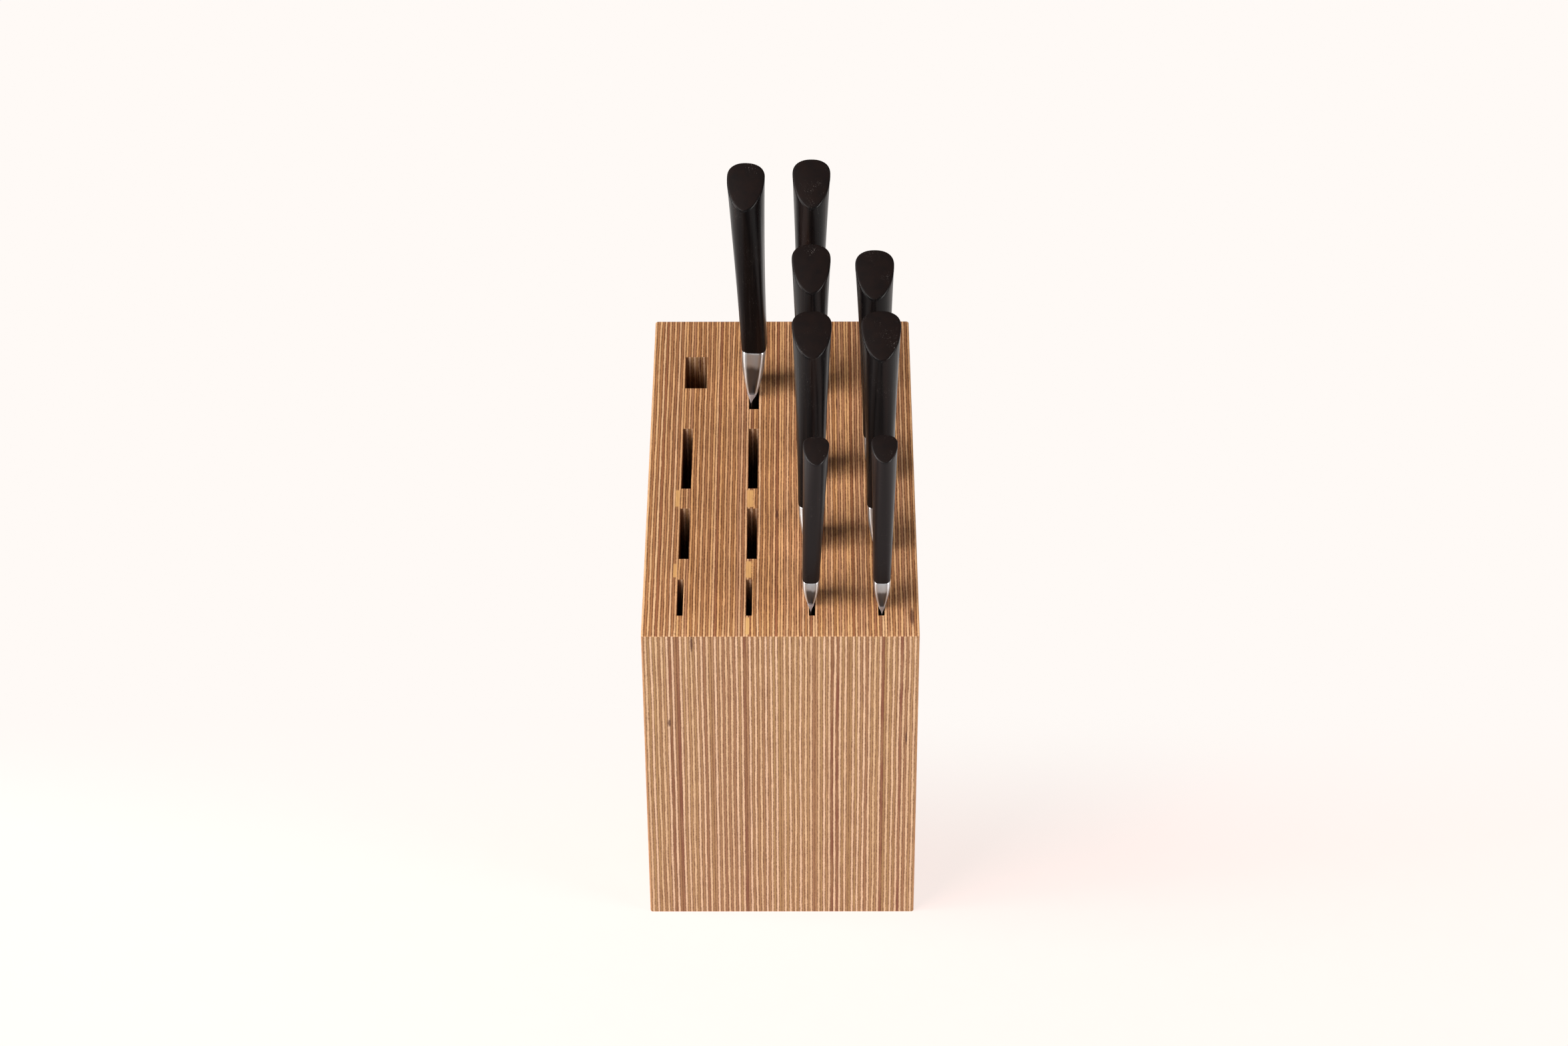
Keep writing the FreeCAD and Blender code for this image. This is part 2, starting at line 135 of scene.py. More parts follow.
# ---------------------------------------------------------------- node helpers
class Nodes:
    """Short calls for building one material's node tree."""

    def __init__(self, name):
        self.material = bpy.data.materials.new(name)
        self.material.use_nodes = True
        self.tree = self.material.node_tree
        self.tree.nodes.clear()
        self.output = self.tree.nodes.new("ShaderNodeOutputMaterial")

    def new(self, kind, **settings):
        node = self.tree.nodes.new(kind)
        for name, value in settings.items():
            setattr(node, name, value)
        return node

    def put(self, socket, value):
        if isinstance(value, bpy.types.NodeSocket):
            self.tree.links.new(value, socket)
        elif value is not None:
            socket.default_value = value

    def math(self, operation, first, second=None):
        node = self.new("ShaderNodeMath", operation=operation)
        for socket, value in zip(node.inputs, (first, second)):
            self.put(socket, value)
        return node.outputs[0]

    def add(self, first, second):
        return self.math("ADD", first, second)

    def times(self, first, second):
        return self.math("MULTIPLY", first, second)

    def minus(self, first, second):
        return self.math("SUBTRACT", first, second)

    def position(self):
        """The point on the surface, in the object's own frame, in metres."""
        return self.new("ShaderNodeTexCoord").outputs["Object"]

    def normal(self):
        """The surface's normal, as its three parts."""
        return self.split(self.new("ShaderNodeNewGeometry").outputs["Normal"])

    def split(self, vector):
        node = self.new("ShaderNodeSeparateXYZ")
        self.put(node.inputs[0], vector)
        return node.outputs

    def join(self, x, y, z):
        node = self.new("ShaderNodeCombineXYZ")
        for socket, value in zip(node.inputs, (x, y, z)):
            self.put(socket, value)
        return node.outputs[0]

    def noise(self, vector, scale=1.0, detail=3.0, roughness=0.5, distortion=0.0):
        node = self.new("ShaderNodeTexNoise")
        self.put(node.inputs["Vector"], vector)
        node.inputs["Scale"].default_value = scale
        node.inputs["Detail"].default_value = detail
        node.inputs["Roughness"].default_value = roughness
        node.inputs["Distortion"].default_value = distortion
        return node.outputs["Fac"]

    def stretched(self, values, scales, **settings):
        """Noise over three values, each of them stretched by a scale of its own."""
        scaled = (self.times(value, scale) for value, scale in zip(values, scales))
        return self.noise(self.join(*scaled), **settings)

    def random(self, vector):
        """A value from 0 to 1 that is another one wherever the vector changes."""
        node = self.new("ShaderNodeTexWhiteNoise", noise_dimensions="3D")
        self.put(node.inputs["Vector"], vector)
        return node.outputs["Value"]

    def ramp(self, value, low, high, out_low=0.0, out_high=1.0):
        """A smooth step from out_low, where value is low, to out_high, where it is high."""
        node = self.new("ShaderNodeMapRange", interpolation_type="SMOOTHSTEP")
        for name, item in (("Value", value), ("From Min", low), ("From Max", high),
                           ("To Min", out_low), ("To Max", out_high)):
            self.put(node.inputs[name], item)
        return node.outputs[0]

    # The Mix node's number and colour sockets have the same names, so both go by index.
    def mix(self, factor, first, second, blend="MIX"):
        node = self.new("ShaderNodeMix", data_type="RGBA", blend_type=blend)
        self.put(node.inputs[0], factor)
        self.put(node.inputs[6], first)
        self.put(node.inputs[7], second)
        return node.outputs[2]

    def mix_value(self, factor, first, second):
        node = self.new("ShaderNodeMix", data_type="FLOAT")
        self.put(node.inputs[0], factor)
        self.put(node.inputs[2], first)
        self.put(node.inputs[3], second)
        return node.outputs[0]

    def bump(self, height, strength, distance):
        node = self.new("ShaderNodeBump")
        node.inputs["Strength"].default_value = strength
        node.inputs["Distance"].default_value = distance
        self.put(node.inputs["Height"], height)
        return node.outputs[0]

    def surface(self, **inputs):
        shader = self.new("ShaderNodeBsdfPrincipled")
        for name, value in inputs.items():
            self.put(shader.inputs[name.replace("_", " ")], value)
        self.tree.links.new(shader.outputs[0], self.output.inputs[0])
        return self.material


def blend(first, second, share):
    return first + (second - first) * share


def rgb(red, green, blue):
    """A colour given as display values from 0 to 255."""
    def linear(value):
        value /= 255
        return value / 12.92 if value <= 0.04045 else ((value + 0.055) / 1.055) ** 2.4
    return (linear(red), linear(green), linear(blue), 1.0)


# ---------------------------------------------------------------- plywood
SHEET_THICKNESS = 18.0
PLIES = 13
BLOCK_LEFT = -72.0
SLOT_REACH = (71.0, 136.0)    # every slot lies nearer to the middle than this, along X and Y
SLOT_TOP = 198.8              # the slots' walls start at this height
SLOT_SHADE_FULL = 168.8             # and their painted shade is deepest from here down
LEFT_RIM = (-55.0, -70.0)     # where the painted light on the top's left rim begins, and where it is strongest
FRONT_RIM = (-112.0, -134.0)
WANDER = 1.1                  # how far the plies wander, in ply thicknesses
RIPPLE = 0.3                  # and how far their edges ripple
FACING = 0.6                  # a face looks along an axis when its normal has more of it than this

# Marks in the wood: middle and reach along X and along the stripe (Y on the top, Z in front).
TOP_KNOTS = ((68.3, -121.5, 1.3, 8.0), (-2.2, -37.0, 0.7, 4.5), (30.5, 60.0, 0.5, 6.0))
FRONT_KNOTS = ((-46.0, 194.0, 0.8, 6.5), (-58.5, 139.0, 0.9, 3.0), (66.0, 128.0, 0.6, 5.0))
# Plain pale strips beside and between the slots: left, right, front and back.
PALE_STRIPS = ((-18.4, -14.9, -31.5, -16.0), (-18.4, -15.2, -90.5, -76.0),
               (-56.9, -54.4, -31.0, -16.0), (-56.6, -54.6, -90.0, -78.0),
               (-18.2, -16.0, -136.0, -121.5))


def near_spots(n, x, along, spots, ragged):
    """1 inside long narrow spots with ragged borders, 0 outside them."""
    total = 0.0
    for middle_x, middle, reach_x, reach in spots:
        across = n.math("DIVIDE", n.minus(x, middle_x), reach_x)
        down = n.math("DIVIDE", n.minus(along, middle), reach)
        distance = n.math("SQRT", n.add(n.times(across, across), n.times(down, down)))
        spot = n.ramp(n.add(distance, n.times(n.minus(ragged, 0.5), 1.6)), 1.1, 0.55)
        total = n.math("MAXIMUM", spot, total)
    return total


def inside_strips(n, x, y, strips, ragged):
    """1 inside upright strips on the top with slightly ragged sides, 0 outside them."""
    side_fade, end_fade = 0.3, 1.0
    place = n.add(x, n.times(n.minus(ragged, 0.5), 0.8))
    total = 0.0
    for left, right, front, back in strips:
        sides = n.times(n.ramp(place, left, left + side_fade),
                        n.ramp(place, right, right - side_fade))
        ends = n.times(n.ramp(y, front, front + end_fade), n.ramp(y, back, back - end_fade))
        total = n.math("MAXIMUM", n.times(sides, ends), total)
    return total


class Plywood:
    """Where a point lies in the plywood, in millimetres, and the noises that colour it."""

    def __init__(self, n):
        normal = n.normal()
        self.on_top = n.math("GREATER_THAN", n.math("ABSOLUTE", normal[2]), FACING)
        self.on_side = n.math("GREATER_THAN", n.math("ABSOLUTE", normal[0]), FACING)
        self.x, self.y, self.z = (n.times(value, 1 / MM) for value in n.split(n.position()))
        self.along = n.mix_value(self.on_top, self.z, self.y)
        self.find_ply(n)
        self.make_noises(n)

    def find_ply(self, n):
        place = n.math("DIVIDE", n.minus(self.x, BLOCK_LEFT), SHEET_THICKNESS)
        self.sheet = n.math("FLOOR", place)
        across = n.math("FRACT", place)
        # Plies wander a little inside a sheet, and lie straight at its two faces.
        slack = n.times(n.times(across, n.minus(1.0, across)), 4.0)
        point = (self.x, self.along, self.sheet)
        wander = n.stretched(point, (0.1, 0.014, 7.3), detail=2.0)
        ripple = n.stretched(point, (0.7, 0.1, 1.0), detail=2.0)
        shift = n.add(n.times(n.minus(wander, 0.5), WANDER),
                      n.times(n.minus(ripple, 0.5), RIPPLE))
        self.ply_place = n.add(n.times(across, float(PLIES)), n.times(shift, slack))
        self.ply = n.math("FLOOR", self.ply_place)
        self.inside = n.math("FRACT", self.ply_place)
        # Long grain and end grain take turns, and look pale or brown by the face they show on.
        even = n.minus(1.0, n.math("MODULO", self.ply, 2.0))
        self.light = n.mix_value(self.on_top, n.minus(1.0, even), even)

    def make_noises(self, n):
        # Each ply has a tone and a hue of its own, and a few are rare dark ones.
        self.tone = n.random(n.join(self.sheet, self.ply, self.on_top))
        self.hue = n.random(n.join(self.ply, n.add(self.sheet, 31.0), self.on_top))
        chance = n.random(n.join(n.add(self.ply, 5.0), self.sheet, n.add(self.on_top, 3.0)))
        self.rare = n.ramp(chance, 0.86, 0.9)
        toned = (self.x, self.along, self.tone)
        hued = (self.x, self.along, self.hue)
        seamed = (self.ply_place, self.along, self.sheet)
        self.fibre = n.stretched(toned, (5.5, 0.22, 1.0), detail=4.0)
        self.cloud = n.stretched(toned, (0.3, 0.03, 23.0))
        self.grit = n.stretched(toned, (4.5, 3.2, 1.0), detail=2.0)
        self.pores = n.stretched(hued, (3.6, 1.9, 9.0), roughness=0.6)
        self.flecks = n.stretched(hued, (1.6, 0.5, 1.0))
        self.broken = n.stretched(seamed, (1.3, 0.8, 3.1), roughness=0.65)
        self.thick = n.stretched(seamed, (0.9, 0.06, 1.0), detail=2.0)


def front_colours(n, wood):
    pale = n.mix(wood.hue, rgb(233, 197, 165), rgb(228, 191, 149))
    brown = n.mix(wood.tone, rgb(182, 142, 103), rgb(156, 112, 79))
    brown = n.mix(wood.hue, brown, rgb(184, 147, 99))
    rare = n.times(wood.rare, n.ramp(wood.cloud, 0.35, 0.7, 0.4, 1.0))
    return pale, n.mix(rare, brown, rgb(126, 68, 50))


def top_colours(n, wood):
    pale = n.mix(wood.tone, rgb(240, 192, 147), rgb(218, 170, 129))
    pale = n.mix(wood.hue, pale, rgb(230, 174, 118))
    brown = n.mix(wood.tone, rgb(186, 134, 98), rgb(158, 106, 74))
    brown = n.mix(wood.hue, brown, rgb(182, 126, 78))
    return pale, n.mix(n.times(wood.rare, 0.6), brown, rgb(142, 80, 52))


def ply_colour(n, wood, dark_pores):
    """The plies without the lines between them."""
    front_pale, front_brown = front_colours(n, wood)
    top_pale, top_brown = top_colours(n, wood)
    pale = n.mix(wood.on_top, front_pale, top_pale)
    pale = n.mix(n.ramp(wood.cloud, 0.55, 0.8, 0.0, 0.4), pale, rgb(198, 150, 116))
    brown = n.mix(wood.on_top, front_brown, top_brown)
    brown = n.mix(n.ramp(wood.cloud, 0.5, 0.8, 0.0, 0.5), brown, rgb(146, 96, 68))
    colour = n.mix(wood.light, brown, pale)
    colour = n.mix(n.ramp(wood.fibre, 0.45, 0.75, 0.0, 0.5), colour, rgb(140, 97, 65))
    grit = n.ramp(wood.grit, 0.42, 0.66, 0.0, 0.6)
    colour = n.mix(grit, colour, rgb(196, 178, 166), "MULTIPLY")
    return n.mix(dark_pores, colour, rgb(98, 60, 40))


def glue_line(n, wood):
    """How much of a dark glue line shows between two plies, broken up along its length."""
    distance = n.minus(0.5, n.math("ABSOLUTE", n.minus(wood.inside, 0.5)))
    reach = n.add(n.ramp(wood.broken, 0.3, 0.7, 0.06, 0.14),
                  n.ramp(wood.thick, 0.35, 0.65, 0.04, 0.18))
    line = n.ramp(n.math("DIVIDE", distance, reach), 1.5, 0.0)
    strength = n.mix_value(wood.on_top, n.ramp(wood.broken, 0.3, 0.6, 0.4, 0.9),
                           n.ramp(wood.broken, 0.25, 0.55, 0.5, 1.0))
    return n.times(line, strength)


def inner_line(n, wood):
    """A fine dark line of its own, which some plies show."""
    distance = n.math("ABSOLUTE", n.minus(wood.inside, n.add(0.35, n.times(wood.tone, 0.3))))
    chance = n.add(wood.hue, n.times(wood.cloud, 0.6))
    line = n.times(n.ramp(distance, 0.12, 0.03), n.ramp(chance, 0.7, 0.95))
    return n.times(line, n.mix_value(wood.light, 0.6, 0.25))


def painted_rim_light(n, wood):
    """Painted light: the top is lighter along its left and front rims, away from the knives' shade.
    """
    rim = n.math("MAXIMUM", n.ramp(wood.x, *LEFT_RIM), n.ramp(wood.y, *FRONT_RIM))
    return n.times(n.times(rim, wood.on_top), 0.5)


def painted_slot_shade(n, wood):
    """Painted shade: the slots' walls are browner and darker than the outside, more so further down.
    """
    within = n.times(n.math("LESS_THAN", n.math("ABSOLUTE", wood.x), SLOT_REACH[0]),
                     n.math("LESS_THAN", n.math("ABSOLUTE", wood.y), SLOT_REACH[1]))
    depth = n.ramp(wood.z, SLOT_TOP + 0.1, SLOT_SHADE_FULL, 0.4, 1.0)
    below = n.math("LESS_THAN", wood.z, SLOT_TOP)
    return n.times(n.times(n.times(within, depth), below), 0.4)


def veneer_colour(n, wood):
    """The sheets' flat faces show one veneer with long grain along Y."""
    point = (wood.x, wood.y, wood.z)
    grain = n.stretched(point, (0.001, 0.012, 0.9), detail=5.0)
    figure = n.stretched(point, (0.001, 0.004, 0.06), distortion=0.6)
    colour = n.mix(n.ramp(grain, 0.35, 0.75), rgb(176, 132, 94), rgb(150, 106, 72))
    return n.mix(n.ramp(figure, 0.4, 0.7, 0.0, 0.5), colour, rgb(142, 96, 62))


def plywood_material():
    """Stripes of 13 plies in each 18 mm sheet, long grain and end grain by turns."""
    n = Nodes("plywood")
    wood = Plywood(n)
    dark_pores = n.times(n.ramp(wood.pores, 0.56, 0.7), n.mix_value(wood.light, 0.55, 0.2))
    colour = ply_colour(n, wood, dark_pores)
    line = glue_line(n, wood)
    colour = n.mix(line, colour, n.mix(wood.on_top, rgb(96, 56, 35), rgb(84, 45, 26)))
    colour = n.mix(n.ramp(wood.flecks, 0.68, 0.76, 0.0, 0.7), colour, rgb(84, 44, 30))
    colour = n.mix(inner_line(n, wood), colour, rgb(112, 70, 46))

    strips = n.times(inside_strips(n, wood.x, wood.y, PALE_STRIPS, wood.broken), wood.on_top)
    plain = n.mix(wood.fibre, rgb(222, 172, 112), rgb(192, 142, 88))
    colour = n.mix(strips, colour, plain)
    knots = n.mix_value(wood.on_top, near_spots(n, wood.x, wood.z, FRONT_KNOTS, wood.pores),
                        near_spots(n, wood.x, wood.y, TOP_KNOTS, wood.pores))
    colour = n.mix(n.times(knots, 0.8), colour, rgb(70, 34, 26))
    # Painted light along the top's left and front rims.
    colour = n.mix(painted_rim_light(n, wood), colour, rgb(232, 232, 232), "SOFT_LIGHT")
    colour = n.mix(wood.on_side, colour, veneer_colour(n, wood))
    # Painted shade inside the slots, deeper further down.
    colour = n.mix(painted_slot_shade(n, wood), colour, rgb(100, 44, 18))

    relief = n.add(n.times(line, -0.6), n.times(n.add(dark_pores, knots), -0.5))
    return n.surface(Base_Color=colour, Roughness=n.ramp(wood.fibre, 0.3, 0.8, 0.5, 0.68),
                     Normal=n.bump(relief, 0.4, 0.0002), Specular_IOR_Level=0.3)


# ---------------------------------------------------------------- metal and dark wood
def handle_material(name, wear):
    """Oiled black wood. wear, from 0 to 1, makes it greyer and drier."""
    n = Nodes(name)
    position = n.position()
    point = n.split(position)
    grain = n.stretched(point, (900.0, 900.0, 22.0), detail=4.0)
    bands = n.stretched(point, (160.0, 160.0, 9.0), detail=2.0)
    black = rgb(blend(10, 28, wear), blend(8, 24, wear), blend(9, 26, wear))
    brown = rgb(blend(25, 34, wear), blend(16, 27, wear), blend(14, 27, wear))
    colour = n.mix(n.ramp(bands, 0.42, 0.72), black, brown)
    colour = n.mix(n.ramp(grain, 0.55, 0.8, 0.0, 0.25), colour, rgb(46, 36, 32))
    # The butt shows end grain.
    butt = n.ramp(n.normal()[2], 0.6, 0.85)
    end_grain = n.noise(position, scale=220.0)
    colour = n.mix(butt, colour, n.mix(end_grain, rgb(14, 12, 13), rgb(30, 19, 16)))
    # Pale dust fills pores here and there, mostly on the end grain of the butt.
    specks = n.noise(position, scale=2300.0, detail=2.0, roughness=0.7)
    patches = n.noise(position, scale=95.0, detail=2.0)
    dust = n.times(n.ramp(specks, 0.66, 0.72), n.ramp(patches, 0.5, 0.66))
    colour = n.mix(n.times(dust, n.mix_value(butt, 0.3, 0.85)), colour, rgb(168, 160, 154))
    roughness = n.mix_value(butt, n.ramp(grain, 0.3, 0.8, blend(0.24, 0.34, wear), 0.44), 0.48)
    bump = n.bump(n.add(grain, n.times(specks, 0.3)), 0.12, 0.0001)
    return n.surface(Base_Color=colour, Roughness=roughness, Normal=bump,
                     Specular_IOR_Level=blend(0.11, 0.2, wear))


def bolster_material(name, heel, top):
    """Satin steel. Painted reflection: its front is darker from a little below the handle down
    towards the heel, and its sides that face left and right carry a painted highlight.
    """
    n = Nodes(name)
    point = n.split(n.position())
    normal = n.normal()
    facing_side = n.math("ABSOLUTE", normal[0])
    brushed = n.stretched(point, (260.0, 260.0, 4200.0))
    smudge = n.stretched(point, (260.0, 260.0, 90.0))
    wavy = n.add(point[2], n.times(n.minus(smudge, 0.5), 0.004))
    # Painted dark reflection on the front, strongest between the handle and the heel and fading out
    # at the heel itself.
    painted_dark_reflection = n.ramp(wavy, blend(heel, top, 0.78), blend(heel, top, 0.62))
    reflection_heel_fade = n.ramp(wavy, blend(heel, top, 0.02), blend(heel, top, 0.1))
    painted_dark_reflection = n.times(n.times(painted_dark_reflection, reflection_heel_fade), n.ramp(facing_side, 0.55, 0.25))
    facet = n.ramp(normal[2], 0.4, 0.75)
    colour = n.mix(smudge, rgb(200, 206, 212), rgb(170, 172, 176))
    # Painted highlight: the sides that face left and right are paler.
    colour = n.mix(n.ramp(facing_side, 0.4, 0.85, 0.0, 0.7), colour, rgb(236, 238, 240))
    colour = n.mix(n.times(painted_dark_reflection, 0.9), colour, rgb(84, 82, 84))
    colour = n.mix(facet, colour, rgb(146, 130, 126))
    roughness = n.add(n.ramp(smudge, 0.35, 0.7, 0.28, 0.36), n.times(brushed, 0.06))
    bump = n.bump(n.add(n.times(brushed, 0.4), smudge), 0.08, 0.00008)
    # The brushing runs round the bolster, so its highlights stretch upright.
    return n.surface(Base_Color=colour, Metallic=n.mix_value(facet, 1.0, 0.3),
                     Roughness=roughness, Normal=bump, Anisotropic=0.8,
                     Anisotropic_Rotation=0.25)


def blade_material():
    n = Nodes("blade_steel")
    position = n.position()
    satin = n.stretched(n.split(position), (900.0, 160.0, 5200.0), detail=4.0)
    cloud = n.noise(position, scale=45.0)
    colour = n.mix(cloud, rgb(204, 204, 206), rgb(184, 184, 188))
    roughness = n.add(n.ramp(satin, 0.3, 0.7, 0.24, 0.36), n.times(cloud, 0.05))
    return n.surface(Base_Color=colour, Metallic=1.0, Roughness=roughness,
                     Normal=n.bump(satin, 0.06, 0.00004))


# ---------------------------------------------------------------- mesh helpers
SHARP_ANGLE = math.radians(35.0)


def signed_power(value, power):
    return math.copysign(abs(value) ** power, value)


def egg(width, depth, front, widest, tip_power, side_power, back_power):
    """Points round a handle section, from its front tip by way of +X.

    widest is how far from the back the section is widest, as a share of its depth.
    """
    back_reach = depth * widest
    front_reach = depth - back_reach
    middle = front + front_reach
    points = []
    for index in range(RING_POINTS):
        turn = 2 * math.pi * index / RING_POINTS
        sine, cosine = math.sin(turn), math.cos(turn)
        if cosine > 0:
            x = signed_power(sine, 2 / side_power)
            y = middle - front_reach * cosine ** (2 / tip_power)
        else:
            x = signed_power(sine, 2 / back_power)
            y = middle + back_reach * (-cosine) ** (2 / back_power)
        points.append((x * width / 2, y))
    return points


def ring_mesh(name, rings):
    """A closed skin through rings of equal point count, in millimetres."""
    mesh = bmesh.new()
    made = [[mesh.verts.new(Vector(point) * MM) for point in ring] for ring in rings]
    for low, high in zip(made, made[1:]):
        for index in range(len(low)):
            following = (index + 1) % len(low)
            mesh.faces.new((low[index], low[following], high[following], high[index]))
    for ring in (made[0], made[-1]):
        middle = mesh.verts.new(sum((v.co for v in ring), Vector()) / len(ring))
        for index in range(len(ring)):
            mesh.faces.new((ring[index], ring[(index + 1) % len(ring)], middle))
    bmesh.ops.recalc_face_normals(mesh, faces=mesh.faces)
    data = bpy.data.meshes.new(name)
    mesh.to_mesh(data)
    mesh.free()
    piece = bpy.data.objects.new(name, data)
    bpy.context.scene.collection.objects.link(piece)
    return piece


def finish_piece(piece, knife, node, material):
    """Move a piece to its knife's place, shade it, attach it to its knife's body, and hide the CAD
    node it stands in for.
    """
    data = piece.data
    data.transform(knife.place)
    data.materials.append(material)
    data.polygons.foreach_set("use_smooth", [True] * len(data.polygons))
    data.set_sharp_from_angle(angle=SHARP_ANGLE)
    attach(piece, knife.name)
    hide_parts(node)


# ---------------------------------------------------------------- the knives
class Knife:
    """One knife's sizes, and where it stands, read from its CAD nodes."""

    def __init__(self, name):
        self.name = name
        (self.sizes, self.handle_length, self.butt_rise, self.joint_shift,
         self.drift) = KNIFE_SIZES[name]
        blade = [v.co for v in frame["nodes"][f"{name}_blade"].data.vertices]
        heel, top = (corner.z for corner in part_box(f"{name}_bolster"))
        level = sorted((co for co in blade if abs(co.z - heel) < HEEL_LEVEL), key=lambda co: co.y)
        edge = (level[0] + level[1]) / 2
        spine = (level[-1] + level[-2]) / 2
        yaw = math.atan2(-(spine.x - edge.x), spine.y - edge.y)
        self.place = Matrix.Translation((edge.x, edge.y, heel)) @ Matrix.Rotation(yaw, 4, "Z")
        self.blade_length = (heel - min(co.z for co in blade)) / MM
        self.bolster_height = (top - heel) / MM


WIDEST_AT_JOINT = 0.5         # where the handle is widest, from its back, at its lower end
WIDEST_AT_BUTT = 0.28         # and at its butt
TIP_POWER = 2.0               # squareness of the section's front tip and sides at the butt
SIDE_POWER = 1.7
BACK_POWER = 2.3              # and of its back, all the way
BUTT_STEPS = 4                # rings round the butt's edge
DOME_REACHES = (0.92, 0.8, 0.64, 0.46, 0.28, 0.12)


def make_handle(knife, material):
    """The handle: a flared bar with an egg-shaped section and an oblique, slightly domed butt."""
    sizes = knife.sizes
    growth = sizes["butt_depth"] - sizes["joint_depth"]
    slope = knife.butt_rise / sizes["butt_depth"]
    even = sizes["even_growth"]

    def front_at(share):
        return sizes["choil_depth"] - growth * FRONT_ADVANCE * share

    def section(share, inset=0.0):
        """The outline at a share of the way up, shrunk by inset."""
        grown = even * share + (1 - even) * share * share
        width = blend(sizes["joint_width"], sizes["butt_width"], grown)
        depth = sizes["joint_depth"] + growth * share
        joint_power = sizes["joint_power"]
        return egg(width - 2 * inset, depth - 2 * inset, front_at(share) + inset,
                   blend(WIDEST_AT_JOINT, WIDEST_AT_BUTT, share),
                   blend(joint_power, TIP_POWER, share),
                   blend(joint_power, SIDE_POWER, share), BACK_POWER)

    def lifted(points, share, rise=0.0):
        """The outline in its place, tilted more and more towards the oblique butt."""
        placed = []
        for x, y in points:
            height = share * (knife.handle_length + (y - front_at(share)) * slope) + rise
            side = knife.joint_shift + knife.drift * share
            placed.append((x + side, y, knife.bolster_height + height))
        return placed

    rings = [lifted(section(0.0, JOINT_INSET), 0.0)]
    rings += [lifted(section(index / HANDLE_RINGS), index / HANDLE_RINGS, JOINT_INSET)
              for index in range(HANDLE_RINGS)]
    radius = sizes["butt_round"]
    for step in range(BUTT_STEPS + 1):
        angle = step / BUTT_STEPS * math.pi / 2
        inset = radius * (1 - math.cos(angle))
        drop = radius * (1 - math.sin(angle)) + BUTT_EASE
        rings.append(lifted(section(1.0, inset), 1.0, -drop))
    face = [Vector(point) for point in rings[-1]]
    centre = sum(face, Vector()) / len(face)
    for reach in DOME_REACHES:
        dome = Vector((0, 0, sizes["dome"] * (1 - reach * reach)))
        rings.append([tuple(centre + (point - centre) * reach + dome) for point in face])
    piece = ring_mesh(f"{knife.name}_grip", rings)
    finish_piece(piece, knife, f"{knife.name}_handle", material)


COLLAR_CURVE = 2.2            # how soon the bolster widens above its facet
KEEL_POWER = 3.6              # squareness of the bolster's section just above the facet
KEEL_FADE = 2.2               # how soon it changes to the joint's squareness
COLLAR_BACK_POWER = 2.5       # squareness of its back
RING_CROWDING = 1.3           # above 1, the rings lie closer together near the facet
FACET_PARTS = (0.0, 0.2, 0.4, 0.55, 0.7, 0.9)


def make_bolster(knife, material):
    """The steel collar: an oval under the handle that narrows like a shield to the heel."""
    sizes = knife.sizes
    top = knife.bolster_height
    low = sizes["choil_height"]

    def ring(share, inset=0.0, height=None):
        """The outline at a share of the way from the facet's top to the handle."""
        grown = 1 - (1 - share) ** COLLAR_CURVE
        width = blend(sizes["choil_width"], sizes["collar_width"], grown)
        front = sizes["choil_depth"] - sizes["belly"] * math.sin(math.pi * share)
        depth = sizes["choil_depth"] + sizes["joint_depth"] - front
        height = blend(low, top, share) if height is None else height
        power = blend(sizes["joint_power"], KEEL_POWER, min(1.0, (1 - share) * KEEL_FADE))
        points = egg(width - 2 * inset, depth - 2 * inset, front + inset, 0.5, power, power,
                     COLLAR_BACK_POWER)
        return [(x + knife.joint_shift * height / top, y, height) for x, y in points]

    foot = ring(0.0)
    rings = [facet_ring(knife, part, foot) for part in FACET_PARTS]
    rings += [ring((index / BOLSTER_RINGS) ** RING_CROWDING) for index in range(BOLSTER_RINGS)]
    # A small rounded lip under the handle.
    rings.append(ring(1.0, height=top - LIP))
    rings.append(ring(1.0, LIP * 0.3, top - LIP * 0.3))
    rings.append(ring(1.0, LIP, top))
    piece = ring_mesh(f"{knife.name}_collar", rings)
    finish_piece(piece, knife, f"{knife.name}_bolster", material)


EDGE_HALF = 0.12              # half the thickness of the blade's edge
GRIND_SHARE = 0.75            # of the blade's depth that is ground
GRIND_CURVE = 0.8             # below 1, the ground sides are convex
SPINE_START = 0.96            # share of the blade's depth where its spine rounds off
SPINE_HALF = 0.3              # how thin the spine may get there


def wedge(knife, y):
    """The blade's half thickness at a distance behind its edge."""
    full = knife.sizes["blade_thickness"] / 2
    reach = knife.sizes["blade_depth"] * GRIND_SHARE
    share = max(0.0, min(1.0, y / reach))
    return EDGE_HALF + (full - EDGE_HALF) * share ** GRIND_CURVE


def facet_ring(knife, part, above):
    """A ring between the blade's section at the heel and the keel just above the facet."""
    sizes = knife.sizes
    ring = []
    for x, y, _ in above:
        share = (y - sizes["choil_depth"]) / sizes["joint_depth"]
        y_low = share * sizes["blade_depth"]
        past = max(0.0, (share - SPINE_START) / (1 - SPINE_START))
        round_back = math.sqrt(max(0.0, 1 - past ** 2))
        half = wedge(knife, y_low) * max(SPINE_HALF, round_back)
        x_low = math.copysign(min(abs(x), half), x)
        spread = min(1.0, part / FACET_CORNER)
        height = sizes["choil_height"] * part
        ring.append((blend(x_low, x, spread), blend(y_low, y, part), height))
    return ring


STRAIGHT_STEPS = 30           # rings along the blade's straight part
TIP_STEPS = 24                # and along its curved tip
TAPER = 0.45                  # how much thinner the blade is at its tip
LEAST_DEPTH = 0.15            # the blade's depth at the very tip
SIDE_SHARES = (0.0, 0.015, 0.05, 0.12, 0.25, 0.4, 0.6, 0.8, 0.95, 0.99)
SPINE_EASE = 0.75             # what the last of these keeps of the blade's thickness
SPINE_FLAT = 0.4              # and what the spine's flat keeps of that


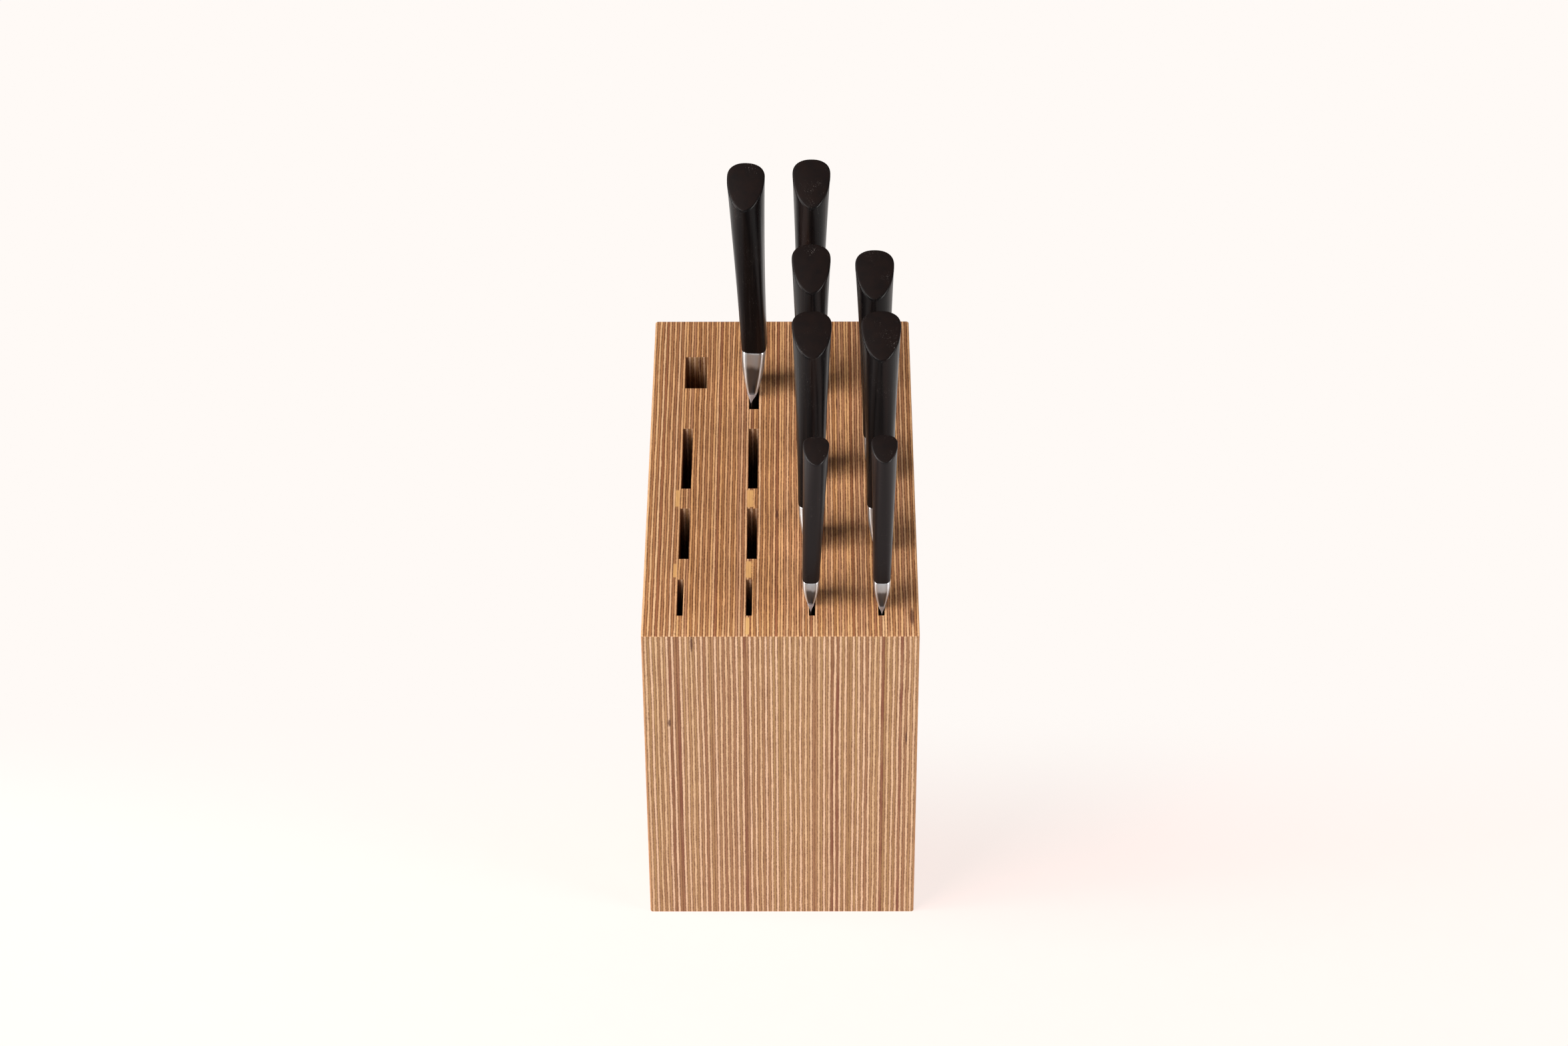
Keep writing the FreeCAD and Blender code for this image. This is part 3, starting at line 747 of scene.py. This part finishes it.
def make_blade(knife, material):
    """A ground blade: wedge section, curved belly, tapered towards the tip."""
    sizes = knife.sizes
    length, depth, tip = knife.blade_length, sizes["blade_depth"], sizes["tip_length"]
    straight = length - tip
    radius = (depth ** 2 + tip ** 2) / (2 * depth)
    stations = [step / STRAIGHT_STEPS * straight for step in range(STRAIGHT_STEPS + 1)]
    stations += [straight + tip * math.sin(step / TIP_STEPS * math.pi / 2)
                 for step in range(1, TIP_STEPS + 1)]
    rings = []
    for down in stations:
        past = max(0.0, down - straight)
        edge = radius - math.sqrt(max(0.0, radius ** 2 - past ** 2))
        edge = min(edge, depth - LEAST_DEPTH)
        taper = 1 - TAPER * down / length
        side = []
        for share in SIDE_SHARES:
            y = edge + (depth - edge) * share
            half = min(wedge(knife, y - edge), wedge(knife, y)) * taper
            side.append((half * (SPINE_EASE if share == SIDE_SHARES[-1] else 1), y))
        side.append((side[-1][0] * SPINE_FLAT, depth))
        ring = [(x, y, -down) for x, y in side]
        ring += [(-x, y, -down) for x, y in reversed(side)]
        rings.append(ring)
    piece = ring_mesh(f"{knife.name}_ground_blade", rings)
    finish_piece(piece, knife, f"{knife.name}_blade", material)


# ---------------------------------------------------------------- stage and light
PAPER = (1.0, 0.955, 0.922, 1.0)
PAPER_SHADED = ((0.28, 0.18, 0.165, 1.0), (0.29, 0.19, 0.175, 1.0))
FLOOR_SIZE = 8.0
SHADED_GLOW = 0.77            # how much the paper glows where it shows shadows
SHADE_END = (-0.11, 0.03)     # the floor's shadows fade out between these places along Y
SHADE_REACH = (0.32, 0.7)     # and between these distances from the block's middle
WORLD_GLOW = 0.09
LIGHT_TARGET = (0, 0, 0.2)
# Area lights: place, width and height, power in watts, and colour.
LIGHTS = {
    "key": ((-1.6, -0.75, 2.1), (2.1, 1.2), 78.0, (1.0, 0.97, 0.94)),
    "left": ((-1.4, -0.2, 0.45), (0.5, 0.7), 18.0, (1.0, 0.98, 0.96)),
    "right": ((1.3, -0.6, 0.5), (0.5, 0.7), 15.0, (1.0, 0.98, 0.96)),
    "front": ((0.3, -2.4, 1.0), (1.6, 1.0), 11.5, (1.0, 0.98, 0.96)),
}


def paper_material():
    """Glowing white paper that shows faint shadows only near the block's front."""
    n = Nodes("paper")
    position = n.position()
    away = n.new("ShaderNodeVectorMath", operation="LENGTH")
    n.put(away.inputs[0], position)
    clean = n.math("MAXIMUM", n.ramp(n.split(position)[1], *SHADE_END),
                   n.ramp(away.outputs["Value"], *SHADE_REACH))
    colour = n.mix(n.noise(position, scale=60.0, detail=2.0), *PAPER_SHADED)
    colour = n.mix(clean, colour, (0.0, 0.0, 0.0, 1.0))
    return n.surface(Base_Color=colour, Roughness=0.9, Specular_IOR_Level=0.0,
                     Emission_Color=PAPER, Emission_Strength=n.mix_value(clean, SHADED_GLOW, 1.0))


def make_floor():
    size = FLOOR_SIZE
    mesh = bpy.data.meshes.new("floor")
    mesh.from_pydata([(-size, -size, 0), (size, -size, 0), (size, size, 0), (-size, size, 0)],
                     [], [(0, 1, 2, 3)])
    floor = bpy.data.objects.new("floor", mesh)
    bpy.context.scene.collection.objects.link(floor)
    floor.data.materials.append(paper_material())


def make_light():
    world = bpy.data.worlds.new("studio")
    bpy.context.scene.world = world
    world.use_nodes = True
    background = world.node_tree.nodes["Background"]
    background.inputs["Color"].default_value = PAPER
    background.inputs["Strength"].default_value = WORLD_GLOW
    for name, (place, size, power, colour) in LIGHTS.items():
        data = bpy.data.lights.new(name, "AREA")
        data.shape = "RECTANGLE"
        data.size, data.size_y = size
        data.energy = power
        data.color = colour
        light = bpy.data.objects.new(name, data)
        light.location = place
        aim = Vector(LIGHT_TARGET) - Vector(place)
        light.rotation_euler = aim.to_track_quat("-Z", "Y").to_euler()
        bpy.context.scene.collection.objects.link(light)


# ---------------------------------------------------------------- everything together
def collar_material(name, knife_name):
    """The bolsters' steel, with its painted dark reflection placed by the height of one knife's
    bolster.
    """
    low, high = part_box(f"{knife_name}_bolster")
    return bolster_material(name, low.z, high.z)


def main():
    make_camera()
    plywood = plywood_material()
    for name in SHEETS:
        node = frame["nodes"][name]
        node.data.materials.clear()
        node.data.materials.append(plywood)
    fresh = handle_material("dark_handle_wood", 0.0)
    worn = handle_material("worn_handle_wood", SMALL_WEAR)
    steel = blade_material()
    large_collar = collar_material("bolster_steel", "carving_knife")
    small_collar = collar_material("small_bolster_steel", "paring_knife")
    for name in KNIVES:
        knife = Knife(name)
        small = knife.sizes is SMALL
        make_handle(knife, worn if small else fresh)
        make_bolster(knife, small_collar if small else large_collar)
        make_blade(knife, steel)
    make_floor()
    make_light()
    bpy.context.scene.view_settings.view_transform = "Standard"


main()
